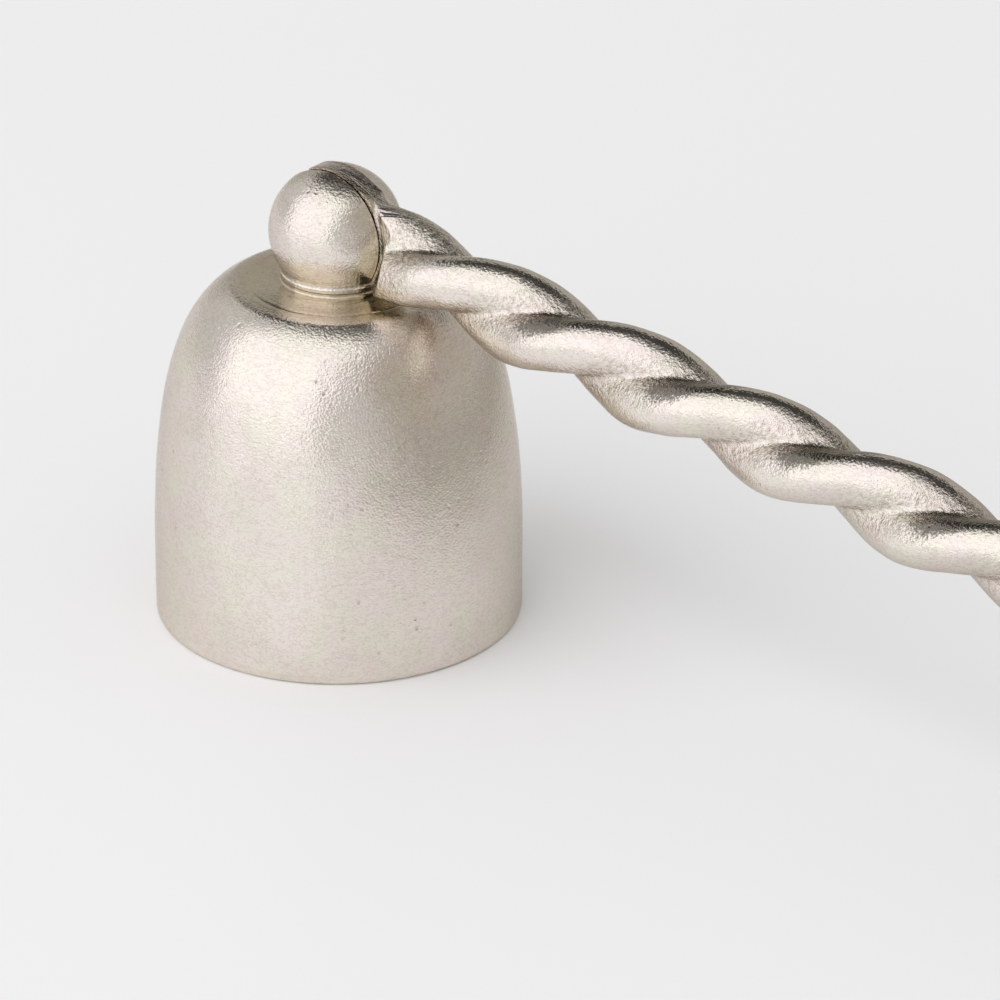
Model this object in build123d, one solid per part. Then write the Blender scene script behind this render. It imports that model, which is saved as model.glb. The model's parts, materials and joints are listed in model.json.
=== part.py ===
from build123d import *
import os
from math import acos, asin, atan2, cos, degrees, hypot, radians, sin, sqrt, tan

# Candle snuffer: a cast bell with a slotted ball on its crown, and a twisted handle hinged in the slot.
# Millimetres, +Z up, +X along the handle. The origin is the centre of the bell's mouth, on the table.
# The handle's end ball rests on the same table as the bell's rim.

# Bell
rim_radius = 19.0            # outside, on the straight lower wall
wall = 2.2
mouth_depth = 8.0            # straight round stretch inside the mouth
rim_round = 0.4
crown_edge_radius = 10.9
crown_edge_height = 36.2
crown_edge_round = 0.8
crown_rise = 0.55            # of the sloped crown, from its edge to the foot of the cove
cove_radius = 0.4            # of the cove round the neck
crown_thickness = 2.75       # under the knuckle's seat
ceiling_radius = 8.6         # where the dome inside meets the flat under the crown
dome_end_angle = 40.0        # of the dome outside, above level, where it meets the crown
inside_end_angle = 28.0      # of the dome inside, above level, where it meets the ceiling
# Dome outside: shares of the way in from the rim to the crown's edge, and of that edge's height.
dome_shares = [(0.0, 0.18), (0.05, 0.48), (0.2, 0.7), (0.435, 0.85), (0.67, 0.94)]
# Dome inside: shares of the way in from the mouth to the ceiling's edge, and of the height between them.
inside_shares = [(0.03, 0.34), (0.145, 0.57), (0.39, 0.79), (0.675, 0.93)]

# Knuckle
ball_radius = 6.8
neck_step = 1.2              # of the neck inside the ball
neck_height = 0.95
ring_groove = 0.18           # radius of the fine groove turned round the neck
ring_height_share = 0.35     # of the neck's height, where that groove runs
slot_width = 2.6
cheek_round = 0.6            # of the slot's lips
floor_lift = 0.25            # of the slot's floor above the neck
spigot_radius = 3.2
spigot_gap = 0.1             # round the spigot in the crown's hole
spigot_setback = 0.2         # of the spigot's end inside that hole, so that the washer clamps the bell

# Hinge
pin_radius = 1.25
pin_gap = 0.05               # round the pin in the tongue, a running fit
pin_web = 1.6                # of the near cheek beyond the pin's blind hole
pin_tip_gap = 0.2            # past the pin's tip in that hole
tongue_gap = 0.15            # between the tongue and each cheek
floor_gap = 0.2              # between the tongue's eye and the slot's floor
tongue_proud = 0.05          # of the tongue's crown over the ball
drop_angle = 2.0             # that the handle can drop below rest before the tongue meets the floor
lift_angle = 95.0            # that the handle can lift before the tongue's heel meets the floor

# Handle
handle_length = 234.0        # hinge to the centre of the end ball
strand_radius = 2.87
strand_offset = 1.83         # of each strand's centre from the bar's axis
waist_blend = 0.9            # radius of the valleys between the strands
twist_pitch = 31.67
twist_start_angle = 147.5    # of the strands at the hinge, from +Y towards +Z
bar_rise = 0.45              # of the bar's axis over the hinge
end_radius = 6.0
root_gap = 0.4               # from the ball to the bar's root
root_length = 3.4            # of the bar's root, rounded in plan
root_spare = 0.3             # of that round past the strands
relief_depth = 3.0           # below the hinge, of the relief under the root that clears the crown
relief_angle = 11.0          # of that relief, below the bar's line
relief_round = 1.2           # of the root's lower corner
crown_end_angle = 64.0       # above the bar, where the tongue's crown runs straight on to the upper strand

# Crown screw and lock washer
screw_radius = 2.0
screw_tip_gap = 0.2          # over the screw's tip in its blind hole
blind_web = 0.9              # between that hole and the slot's floor
head_radius = 3.6
head_height = 2.2
head_round = 1.0
drive_width = 1.0
drive_depth = 1.1
washer_land = 0.5            # of the washer on the ceiling, past the spigot's hole
washer_thickness = 0.9
washer_gap = 0.15            # round the screw
washer_split = 0.6

overrun = 1.0                # of every cut past the faces that it cuts

# Places that follow from the sizes above
mouth_radius = rim_radius - wall
seat_height = crown_edge_height + crown_rise + cove_radius
ceiling_height = seat_height - crown_thickness
spigot_hole_radius = spigot_radius + spigot_gap
washer_radius = spigot_hole_radius + washer_land
neck_radius = ball_radius - neck_step
neck_top = seat_height + neck_height
hinge_height = neck_top + sqrt(ball_radius ** 2 - neck_radius ** 2)
floor_height = neck_top + floor_lift
eye_radius = hinge_height - floor_height - floor_gap
pin_hole_reach = ball_radius - pin_web
tongue_thickness = slot_width - 2 * tongue_gap
tongue_radius = ball_radius + tongue_proud
strand_reach = strand_offset + strand_radius
root_start = ball_radius + root_gap
root_end = root_start + root_length
rest_fall = asin((hinge_height - end_radius) / hypot(handle_length, bar_rise))
rest_slope = degrees(rest_fall + atan2(bar_rise, handle_length))
lowest_slope = rest_slope + drop_angle    # of the bar below level when it is dropped
highest_slope = lift_angle - rest_slope   # of the bar above level when it is lifted
spigot_end = ceiling_height + spigot_setback
screw_hole_top = floor_height - blind_web

QUARTER_TURN = 90
FULL_TURN = 360


def on_circle(radius, angle):
    """Point of a circle round the hinge, in the handle's own plane, with the bar along +X."""
    return (radius * cos(radians(angle)), radius * sin(radians(angle)))


def inward(angle):
    """Direction towards the bell's axis that rises at an angle above level."""
    return (-cos(radians(angle)), sin(radians(angle)))


def nearest(circles, radius, height):
    """The circle round the bell's axis that is nearest to a radius and a height."""
    return min(circles, key=lambda ring: hypot(ring.radius - radius, ring.arc_center.Z - height))


def standing_rod(radius, bottom, top):
    """Round rod on the bell's axis between two heights."""
    return Pos(0, 0, bottom) * Cylinder(radius, top - bottom, align=(Align.CENTER, Align.CENTER, Align.MIN))


def hinge_rod(radius, near, far):
    """Round rod along the hinge, reaching into the near cheek on one side and the far cheek on the other."""
    rod = Cylinder(radius, near + far, align=(Align.CENTER, Align.CENTER, Align.MIN))
    return Pos(0, -near, hinge_height) * Rot(-QUARTER_TURN, 0, 0) * rod


def make_bell():
    """Cast bell: a revolved wall with a sloped crown, a cove round the neck and the spigot's hole."""
    dome_span = rim_radius - crown_edge_radius
    inside_span = mouth_radius - ceiling_radius
    inside_rise = ceiling_height - mouth_depth
    outside = [(rim_radius - dome_span * way, crown_edge_height * up) for way, up in dome_shares]
    inside = [(mouth_radius - inside_span * way, mouth_depth + inside_rise * up) for way, up in inside_shares]
    crown_edge = (crown_edge_radius, crown_edge_height)
    cove_foot = (neck_radius + cove_radius, crown_edge_height + crown_rise)
    cove_top = (neck_radius, seat_height)
    hole_top = (spigot_hole_radius, seat_height)
    hole_foot = (spigot_hole_radius, ceiling_height)
    ceiling_edge = (ceiling_radius, ceiling_height)
    mouth_top = (mouth_radius, mouth_depth)
    with BuildPart() as bell:
        with BuildSketch(Plane.XZ):
            with BuildLine():
                Polyline(mouth_top, (mouth_radius, 0), (rim_radius, 0), outside[0])
                Spline(*outside, crown_edge, tangents=[(0, 1), inward(dome_end_angle)])
                Line(crown_edge, cove_foot)
                RadiusArc(cove_foot, cove_top, cove_radius)
                Polyline(cove_top, hole_top, hole_foot, ceiling_edge)
                Spline(mouth_top, *inside, ceiling_edge, tangents=[(0, 1), inward(inside_end_angle)])
            make_face()
        revolve(axis=Axis.Z)
        circles = bell.edges().filter_by(GeomType.CIRCLE)
        fillet(nearest(circles, crown_edge_radius, crown_edge_height), crown_edge_round)
        circles = bell.edges().filter_by(GeomType.CIRCLE)
        fillet(nearest(circles, rim_radius, 0), rim_round)
    return bell.part


def make_slot_cutter():
    """Disc round the hinge axis, flared at its rim, that cuts the slot and rounds its lips."""
    half = slot_width / 2
    lip_side = half + cheek_round
    lip_start = sqrt((ball_radius - cheek_round) ** 2 - lip_side ** 2)
    lip_scale = ball_radius / (ball_radius - cheek_round)
    lip_end = (lip_start * lip_scale, lip_side * lip_scale)
    clear_scale = (ball_radius + overrun) / ball_radius
    clear_end = (lip_end[0] * clear_scale, lip_end[1] * clear_scale)
    with BuildPart() as cutter:
        with BuildSketch(Plane.XY):
            with BuildLine():
                RadiusArc((lip_start, half), lip_end, cheek_round)
                Polyline(lip_end, clear_end, (ball_radius + overrun, 0), (0, 0), (0, half), (lip_start, half))
            make_face()
            mirror(about=Plane.XZ)
        revolve(axis=Axis.Y)
        split(bisect_by=Plane.XY.offset(floor_height - hinge_height), keep=Keep.TOP)
    return Pos(0, 0, hinge_height) * cutter.part


def make_knuckle():
    """Ball and ringed neck on a spigot, slotted for the tongue and bored for the pin and the screw."""
    ring_height = seat_height + neck_height * ring_height_share
    ring_low = (neck_radius, ring_height - ring_groove)
    ring_high = (neck_radius, ring_height + ring_groove)
    ball_top = (0, hinge_height + ball_radius)
    with BuildPart() as knuckle:
        with BuildSketch(Plane.XZ):
            with BuildLine():
                Polyline(ball_top, (0, spigot_end), (spigot_radius, spigot_end), (spigot_radius, seat_height),
                         (neck_radius, seat_height), ring_low)
                ThreePointArc(ring_low, (neck_radius - ring_groove, ring_height), ring_high)
                Line(ring_high, (neck_radius, neck_top))
                ThreePointArc((neck_radius, neck_top), (ball_radius, hinge_height), ball_top)
            make_face()
        revolve(axis=Axis.Z)
    screw_hole = standing_rod(screw_radius, spigot_end - overrun, screw_hole_top)
    pin_hole = hinge_rod(pin_radius, pin_hole_reach, ball_radius + overrun)
    return knuckle.part - make_slot_cutter() - pin_hole - screw_hole


def make_hinge_pin():
    """Pin from the far cheek through the tongue into the near cheek, dressed flush with the ball."""
    ball = Pos(0, 0, hinge_height) * Sphere(ball_radius)
    return hinge_rod(pin_radius, pin_hole_reach - pin_tip_gap, ball_radius) & ball


def make_strands():
    """Section of the bar: two overlapping round strands with blended valleys between them."""
    reach = strand_radius + waist_blend
    valley_centre = sqrt(reach ** 2 - strand_offset ** 2)
    meet_x = strand_offset * waist_blend / reach
    meet_y = valley_centre * strand_radius / reach
    with BuildSketch() as section:
        with BuildLine():
            for side in (1, -1):
                tip = (side * strand_reach, 0)
                for half in (1, -1):
                    crest = (side * strand_offset, half * strand_radius)
                    ThreePointArc((side * meet_x, half * meet_y), crest, tip)
                valley = (0, side * (valley_centre - waist_blend))
                ThreePointArc((meet_x, side * meet_y), valley, (-meet_x, side * meet_y))
        make_face()
    return section.face()


def make_twist():
    """Left-handed twist of the strands along +X, from the hinge to the centre of the end ball."""
    turn = handle_length / twist_pitch * FULL_TURN
    strands = Rot(0, 0, -twist_start_angle) * make_strands()
    right_twist = Solid.extrude_linear_with_rotation(strands, (0, 0, 0), (0, 0, handle_length), turn)
    return Pos(0, 0, bar_rise) * mirror(Plane.YZ * right_twist, about=Plane.XY)


def make_root_limit():
    """Room for the strands: rounded in plan beside both cheeks, and relieved below to clear the crown."""
    half = tongue_thickness / 2
    reach = strand_reach + root_spare
    relief_end = root_start + (reach - relief_depth) / tan(radians(relief_angle))
    corner = (root_start, -relief_depth)
    with BuildPart() as plan:
        with BuildSketch(Plane.XY):
            with BuildLine():
                EllipticalCenterArc((root_end, half), root_length, reach - half, QUARTER_TURN,
                                    arc_size=QUARTER_TURN)
                Polyline((root_end, reach), (handle_length, reach), (handle_length, 0), (root_start, 0),
                         (root_start, half))
            make_face()
            mirror(about=Plane.XZ)
        extrude(amount=2 * reach, both=True)
    with BuildPart() as side:
        with BuildSketch(Plane.XZ) as outline:
            with BuildLine():
                Polyline((root_start, 2 * reach), corner, (relief_end, -reach), (handle_length, -reach),
                         (handle_length, 2 * reach), close=True)
            make_face()
            fillet(outline.vertices().sort_by_distance(corner)[0], relief_round)
        extrude(amount=2 * reach, both=True)
    return plan.part & side.part


def make_tongue():
    """Flat tongue: an eye, a crown that follows the ball, and two flats that stop on the slot's floor."""
    under_start = on_circle(eye_radius, lowest_slope - QUARTER_TURN)
    under_end = (root_end, under_start[1] + (root_end - under_start[0]) * tan(radians(lowest_slope)))
    heel_start = on_circle(eye_radius, -QUARTER_TURN - highest_slope)
    heel_reach = degrees(acos(eye_radius / tongue_radius))
    heel_angle = FULL_TURN - QUARTER_TURN - highest_slope - heel_reach
    heel_end = on_circle(tongue_radius, heel_angle)
    eye_back = on_circle(eye_radius, -QUARTER_TURN + (lowest_slope - highest_slope) / 2)
    crown_end = on_circle(tongue_radius, crown_end_angle)
    crown_middle = on_circle(tongue_radius, (heel_angle + crown_end_angle) / 2)
    ramp = radians(crown_end_angle)
    ramp_end = (root_end, (tongue_radius - root_end * cos(ramp)) / sin(ramp))
    with BuildPart() as tongue:
        with BuildSketch(Plane.XZ):
            with BuildLine():
                Polyline(under_start, under_end, ramp_end, crown_end)
                ThreePointArc(crown_end, crown_middle, heel_end)
                Line(heel_end, heel_start)
                ThreePointArc(heel_start, eye_back, under_start)
            make_face()
        extrude(amount=tongue_thickness / 2, both=True)
    return tongue.part


def make_handle():
    """Twisted bar, tongue and end ball in one casting, drilled for the pin, at its slope on the table."""
    end_ball = Pos(handle_length, 0, bar_rise) * Sphere(end_radius)
    casting = (make_twist() & make_root_limit()) + end_ball + make_tongue()
    pin_hole = Rot(QUARTER_TURN, 0, 0) * Cylinder(pin_radius + pin_gap, tongue_thickness + 2 * overrun)
    return Pos(0, 0, hinge_height) * Rot(0, rest_slope, 0) * (casting - pin_hole)


def make_crown_screw():
    """Round-headed screw from inside the bell, up through washer and crown into the knuckle."""
    head_top = ceiling_height - washer_thickness
    head_bottom = head_top - head_height
    head = standing_rod(head_radius, head_bottom, head_top)
    head = fillet(head.edges().group_by(Axis.Z)[0], head_round)
    drive = Pos(0, 0, head_bottom) * Box(2 * (head_radius + overrun), drive_width, 2 * drive_depth)
    return head + standing_rod(screw_radius, head_top, screw_hole_top - screw_tip_gap) - drive


def make_lock_washer():
    """Split washer between the screw's head and the ceiling of the bell."""
    bottom = ceiling_height - washer_thickness
    ring = standing_rod(washer_radius, bottom, ceiling_height)
    hole = standing_rod(screw_radius + washer_gap, bottom - overrun, ceiling_height + overrun)
    split_height = 2 * (washer_thickness + overrun)
    split_cut = Pos(washer_radius, 0, bottom) * Box(2 * washer_radius, washer_split, split_height)
    return ring - hole - split_cut


pieces = {
    "bell": make_bell(),
    "knuckle": make_knuckle(),
    "hinge_pin": make_hinge_pin(),
    "handle": make_handle(),
    "crown_screw": make_crown_screw(),
    "lock_washer": make_lock_washer(),
}
os.makedirs("parts", exist_ok=True)
for name, piece in pieces.items():
    export_step(piece, f"parts/{name}.step")
print(f"hinge height {hinge_height:.3f}, rest slope {rest_slope:.2f} degrees")
print(f"mouth radius {mouth_radius:.2f}, ceiling height {ceiling_height:.2f}")
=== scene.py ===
"""Candle snuffer: a cast bell, a slotted ball on its crown and a twisted handle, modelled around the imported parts."""

import json
from math import atan2, cos, hypot, radians, sin, sqrt, tan, tau

import bmesh
import bpy
from bpy.props import FloatProperty, FloatVectorProperty, IntProperty, PointerProperty
from mathutils import Matrix, Vector, noise
from mathutils.geometry import interpolate_bezier


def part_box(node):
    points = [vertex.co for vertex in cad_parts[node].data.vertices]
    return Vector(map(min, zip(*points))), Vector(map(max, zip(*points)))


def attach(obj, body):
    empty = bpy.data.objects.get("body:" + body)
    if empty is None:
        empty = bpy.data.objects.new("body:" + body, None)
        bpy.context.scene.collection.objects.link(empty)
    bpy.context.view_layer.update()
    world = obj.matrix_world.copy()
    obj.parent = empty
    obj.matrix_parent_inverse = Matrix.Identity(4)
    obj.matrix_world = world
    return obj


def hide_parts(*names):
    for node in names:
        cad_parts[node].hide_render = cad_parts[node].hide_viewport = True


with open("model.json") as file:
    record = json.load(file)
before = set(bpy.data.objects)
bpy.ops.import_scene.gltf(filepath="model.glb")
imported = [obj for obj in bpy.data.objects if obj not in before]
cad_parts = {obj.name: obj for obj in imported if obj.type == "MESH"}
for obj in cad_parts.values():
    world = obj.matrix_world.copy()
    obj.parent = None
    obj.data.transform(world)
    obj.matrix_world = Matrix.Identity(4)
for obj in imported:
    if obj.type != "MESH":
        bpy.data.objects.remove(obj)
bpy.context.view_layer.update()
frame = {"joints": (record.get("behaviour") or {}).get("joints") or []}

bl_info = {
    "name": "Candle snuffer",
    "version": (1, 0, 0),
    "blender": (4, 5, 0),
    "location": "3D View > Sidebar > Snuffer",
    "description": "A cast bell with a slotted ball on its crown and a twisted handle hinged in the slot",
    "category": "Add Mesh",
}

MM = 0.001
UP = Vector((0, 0, 1))
QUARTER = tau / 4

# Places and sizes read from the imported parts
BELL_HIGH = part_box("bell")[1]
HANDLE_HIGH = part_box("handle")[1]
PIN_LOW, PIN_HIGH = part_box("hinge_pin")
SCREW_LOW, SCREW_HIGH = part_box("crown_screw")
WASHER_LOW, WASHER_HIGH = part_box("lock_washer")
HINGE_HEIGHT = frame["joints"][0]["pos_m"][2]
SEAT_HEIGHT = BELL_HIGH[2]
CEILING_HEIGHT = WASHER_HIGH[2]

# Where the photograph shows the centre of the bell's mouth, in its 1000 by 1000 frame
FRAME_PIXELS = 1000
MOUTH_PIXEL = (339.6, 600.58)
SENSOR_WIDTH = 36.0


def length(name, description, metres):
    """A size that a user can change."""
    return FloatProperty(name=name, description=description, default=metres, unit="LENGTH", precision=5)


def angle(name, description, degrees):
    """An angle that a user can change."""
    return FloatProperty(name=name, description=description, default=radians(degrees), unit="ROTATION",
                         subtype="ANGLE")


def amount(name, description, value):
    """A plain number that a user can change."""
    return FloatProperty(name=name, description=description, default=value)


def colour(name, description, value):
    """A colour that a user can change."""
    return FloatVectorProperty(name=name, description=description, default=value, subtype="COLOR", min=0, max=1)


class BellSizes(bpy.types.PropertyGroup):
    """Sizes of the cast bell."""

    rim_radius: length("Rim radius", "Outside, on the straight lower wall", BELL_HIGH[0])
    mouth_radius: length("Mouth radius", "Inside, on the straight stretch of the mouth", 16.8 * MM)
    mouth_depth: length("Mouth depth", "Straight stretch inside the mouth", 8.0 * MM)
    rim_round: length("Rim round", "Round of the rim's outer edge", 0.5 * MM)
    lip_round: length("Lip round", "Round of the rim's inner edge", 0.15 * MM)
    wall_top: length("Wall top", "Height of the straight lower wall", 6.516 * MM)
    dome_lower_pull: length("Dome lower pull", "Handle of the dome's curve over the wall", 14.66 * MM)
    dome_upper_pull: length("Dome upper pull", "Handle of the dome's curve at the crown", 7.36 * MM)
    dome_end_angle: angle("Dome end angle", "Of the dome above level at the crown's edge", 30.1)
    inner_lower_pull: length("Inner lower pull", "Handle of the inner dome's curve over the mouth", 14.52 * MM)
    inner_upper_pull: length("Inner upper pull", "Handle of the inner dome's curve at the ceiling", 6.86 * MM)
    inner_end_angle: angle("Inner end angle", "Of the inner dome above level at the ceiling", 27.3)
    ceiling_radius: length("Ceiling radius", "Where the inner dome meets the ceiling", 8.6 * MM)
    crown_edge_radius: length("Crown edge radius", "Where the dome meets the crown", 10.9 * MM)
    crown_edge_height: length("Crown edge height", "Where the dome meets the crown", 36.2 * MM)
    crown_edge_round: length("Crown edge round", "Length of the rounding on each side of that edge", 0.7 * MM)
    cove_foot_radius: length("Cove foot radius", "Where the crown turns up to the neck", 6.35 * MM)
    cove_foot_height: length("Cove foot height", "Where the crown turns up to the neck", 36.72 * MM)
    cove_top_radius: length("Cove top radius", "Bell's edge round the neck", 5.6 * MM)
    hole_radius: length("Hole radius", "Hole for the knuckle's spigot", 3.3 * MM)
    ring_radius: length("Ring radius", "Of the fine groove turned in the crown", 9.15 * MM)
    ring_width: length("Ring width", "Of that groove", 0.22 * MM)
    ring_depth: length("Ring depth", "Of that groove", 0.03 * MM)
    wave: length("Wave", "Height of the casting's slow unevenness", 0.06 * MM)
    wave_size: length("Wave size", "Spacing of the casting's slow unevenness", 5.0 * MM)
    leather: length("Leather", "Height of the casting's leathery skin", 0.015 * MM)
    leather_size: length("Leather size", "Spacing of the casting's leathery skin", 1.3 * MM)
    steps: IntProperty(name="Steps", description="Steps round the bell", default=320)


class KnuckleSizes(bpy.types.PropertyGroup):
    """Sizes of the slotted ball and its neck."""

    ball_radius: length("Ball radius", "Of the ball round the hinge", 6.8 * MM)
    neck_radius: length("Neck radius", "Under the ball", 5.6 * MM)
    neck_top: length("Neck top", "Height where the ball meets the neck", 38.1 * MM)
    floor_height: length("Floor height", "Of the slot's floor", 38.35 * MM)
    neck_cove: length("Neck cove", "Height of the cove from the slot's floor down to the neck", 0.5 * MM)
    slot_width: length("Slot width", "Between the two cheeks", 2.6 * MM)
    lip_round: length("Lip round", "Of the slot's lips", 0.08 * MM)
    pin_chamfer: length("Pin chamfer", "Round the pin's hole in the far cheek", 0.1 * MM)
    ring_height: length("Ring height", "Of the fine groove round the neck, over the seat", 0.42 * MM)
    ring_width: length("Ring width", "Of that groove", 0.26 * MM)
    ring_depth: length("Ring depth", "Of that groove", 0.06 * MM)
    seam_round: length("Seam round", "Of the neck's lower edge, which leaves a fine seam on the bell", 0.14 * MM)
    spigot_radius: length("Spigot radius", "Of the spigot in the crown's hole", 3.2 * MM)
    spigot_setback: length("Spigot setback", "Of the spigot's end over the ceiling", 0.2 * MM)
    steps: IntProperty(name="Steps", description="Steps round the ball", default=160)


class HandleSizes(bpy.types.PropertyGroup):
    """Sizes of the twisted handle, its tongue and its end ball."""

    strand_radius: length("Strand radius", "Of each strand", 2.87 * MM)
    strand_offset: length("Strand offset", "Of each strand's centre from the bar's axis", 1.83 * MM)
    valley_sharpness: amount("Valley sharpness", "Of the valleys between the strands", 7.0)
    crest_share: amount("Crest share", "Of each strand that is polished, from its crest to the hollow beside it", 0.55)
    residue_start: amount("Residue start", "Share of a strand, from its crest, where dark residue starts", 0.0)
    residue_end: amount("Residue end", "Share of a strand, from its crest, where dark residue is full", 0.7)
    twist_pitch: length("Twist pitch", "Length of one whole turn", 31.67 * MM)
    twist_start: angle("Twist start", "Of the strands at the hinge", 147.5)
    bar_rise: length("Bar rise", "Of the bar's axis over the hinge", 0.45 * MM)
    end_radius: length("End radius", "Of the ball at the handle's end", 6.0 * MM)
    end_blend: amount("End blend", "Sharpness of the join to the end ball", 9.0)
    tongue_thickness: length("Tongue thickness", "Between the cheeks", 2.36 * MM)
    tongue_radius: length("Tongue radius", "Of the tongue's crown", 6.81 * MM)
    eye_radius: length("Eye radius", "Of the tongue round the pin", 3.4 * MM)
    heel: length("Heel", "Of the tongue behind the hinge", 3.4 * MM)
    heel_slant: angle("Heel slant", "Of the tongue's end, which stops flat on the slot's floor", 3.95)
    heel_round: length("Heel round", "Of the tongue's end", 0.5 * MM)
    crown_end_angle: angle("Crown end angle", "Above the bar, where the tongue's crown runs on to the strand", 72.0)
    under_slope: angle("Under slope", "Of the tongue's flat underside", 10.9)
    blend_start: length("Blend start", "From the hinge, where the tongue starts to swell", 4.2 * MM)
    blend_end: length("Blend end", "From the hinge, where the bar has its full section", 6.6 * MM)
    file_start: length("File start", "From the hinge, where the filed flanks leave the tongue", 7.0 * MM)
    file_slope: amount("File slope", "Widening of the filed flanks along the bar, high on the root", 0.15)
    file_slope_low: amount("Lower file slope", "Widening of the filed flanks along the bar, low on the root", 1.25)
    file_reach: length("File reach", "Past the file start, where the flanks open out to the strands", 1.2 * MM)
    file_high: length("File high", "Height over the hinge where the upper slope ends", 3.4 * MM)
    file_low: length("File low", "Height over the hinge where the lower slope is reached", 0.6 * MM)
    relief_depth: length("Relief depth", "Below the hinge, of the relief under the root", 3.0 * MM)
    relief_slope: angle("Relief slope", "Of that relief below the bar's line", 11.0)
    soft: length("Soft", "Rounding of the filed edges", 0.14 * MM)
    wave: length("Wave", "Height of the casting's slow unevenness", 0.08 * MM)
    wave_size: length("Wave size", "Spacing of the casting's slow unevenness", 3.2 * MM)
    leather: length("Leather", "Height of the casting's leathery skin", 0.015 * MM)
    leather_size: length("Leather size", "Spacing of the casting's leathery skin", 1.2 * MM)
    root_step: length("Root step", "Between rings of the tongue and the root", 0.13 * MM)
    bar_step: length("Bar step", "Between rings of the bar", 0.5 * MM)
    steps: IntProperty(name="Steps", description="Points round each ring", default=112)


class FastenerSizes(bpy.types.PropertyGroup):
    """Sizes of the hinge pin, the crown screw and the lock washer."""

    pin_chamfer: length("Pin chamfer", "Of the pin's ends", 0.1 * MM)
    shank_radius: length("Shank radius", "Of the crown screw", 2.0 * MM)
    head_round: length("Head round", "Of the screw's head", 1.0 * MM)
    drive_width: length("Drive width", "Of the slot in the screw's head", 1.0 * MM)
    drive_depth: length("Drive depth", "Of the slot in the screw's head", 1.1 * MM)
    washer_hole: length("Washer hole", "Radius of the washer's hole", 2.15 * MM)
    washer_split: length("Washer split", "Width of the washer's split", 0.6 * MM)
    washer_round: length("Washer round", "Of the washer's edges", 0.12 * MM)
    steps: IntProperty(name="Steps", description="Steps round each fastener", default=72)


class Finish(bpy.types.PropertyGroup):
    """Colours and grain of the cast metal and the steel."""

    metal: colour("Metal", "Warm pale silver of the castings", (0.83, 0.775, 0.71))
    # Darker tone of pits and clouds, and also the colour of the painted shade in the cast skin's creases and specks.
    tarnish_and_shade: colour("Tarnish And Shade", "Darker tone in pits and slow clouds", (0.50, 0.445, 0.37))
    steel: colour("Steel", "Of the pin, the screw and the washer", (0.58, 0.56, 0.53))
    bell_roughness: amount("Bell roughness", "Of the sand-cast bell", 0.12)
    ball_roughness: amount("Ball roughness", "Of the brushed ball", 0.17)
    handle_roughness: amount("Handle roughness", "Of the polished handle", 0.08)
    steel_roughness: amount("Steel roughness", "Of the fasteners", 0.34)


class StageSettings(bpy.types.PropertyGroup):
    """Camera, floor and lights."""

    heading: angle("Heading", "Of the camera's line of sight round the bell", 37.9)
    dip: angle("Dip", "Of the camera's line of sight below level", 25.9)
    roll: angle("Roll", "Of the camera", 0.24)
    distance: length("Distance", "From the camera to the centre of the bell's mouth", 0.56753)
    lens: amount("Lens", "Of the camera, in millimetres", 196.32)
    floor: colour("Floor", "Pale floor", (0.97, 0.97, 0.97))
    floor_size: length("Floor size", "Across the floor", 12.0)


class SnufferSettings(bpy.types.PropertyGroup):
    """All the settings of the candle snuffer."""

    bell: PointerProperty(type=BellSizes)
    knuckle: PointerProperty(type=KnuckleSizes)
    handle: PointerProperty(type=HandleSizes)
    fasteners: PointerProperty(type=FastenerSizes)
    finish: PointerProperty(type=Finish)
    stage: PointerProperty(type=StageSettings)


# Profiles and meshes


def arc(centre, radius, start, end, count):
    """Points of an arc in the plane of a profile, from one angle to another."""
    turns = [start + (end - start) * i / count for i in range(count + 1)]
    return [(centre[0] + radius * cos(turn), centre[1] + radius * sin(turn)) for turn in turns]


def curve(start, start_handle, end_handle, end, count):
    """Points of a smooth curve with two handles, in the plane of a profile."""
    knots = [Vector((a, b, 0)) for a, b in (start, start_handle, end_handle, end)]
    return [(point.x, point.y) for point in interpolate_bezier(*knots, count)]


def straight(start, end, count):
    """Points of a straight stretch, in the plane of a profile."""
    return [(start[0] + (end[0] - start[0]) * i / count, start[1] + (end[1] - start[1]) * i / count)
            for i in range(count + 1)]


def groove(middle, along, width, depth):
    """Points of a fine round groove across a stretch that runs in a direction; the wall is on its right."""
    inward = (along[1], -along[0])
    shares = [(-0.5, 0), (-0.25, 0.75), (0, 1), (0.25, 0.75), (0.5, 0)]
    return [(middle[0] + along[0] * width * a + inward[0] * depth * d,
             middle[1] + along[1] * width * a + inward[1] * depth * d) for a, d in shares]


def add_wire(bm, points, place, closed=False):
    """A wire of edges through points, each put in space by place(point)."""
    verts = [bm.verts.new(place(point)) for point in points]
    pairs = list(zip(verts, verts[1:]))
    if closed:
        pairs.append((verts[-1], verts[0]))
    return verts + [bm.edges.new(pair) for pair in pairs]


def turn_wire(bm, wire, centre, axis, steps, sweep=tau):
    """Turns a wire round an axis into a shell with merged poles and outward faces."""
    bmesh.ops.spin(bm, geom=wire, cent=centre, axis=axis, dvec=(0, 0, 0), angle=sweep, steps=steps,
                   use_merge=sweep == tau, use_duplicate=False)


def close_shell(bm):
    """Merges doubled points and turns all faces outwards."""
    bmesh.ops.remove_doubles(bm, verts=bm.verts, dist=0.0005 * MM)
    bmesh.ops.dissolve_degenerate(bm, edges=bm.edges, dist=0.0002 * MM)
    bmesh.ops.recalc_face_normals(bm, faces=bm.faces)


def roughen(bm, size, moves):
    """Moves points along their normals by slow waves and a leathery skin, as far as moves(point) allows."""
    bm.normal_update()
    for vert in bm.verts:
        share = moves(vert.co)
        if share:
            waves = size.wave * noise.noise(vert.co / size.wave_size)
            leather = size.leather * noise.noise(vert.co / size.leather_size)
            vert.co += vert.normal * share * (waves + leather)


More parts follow.
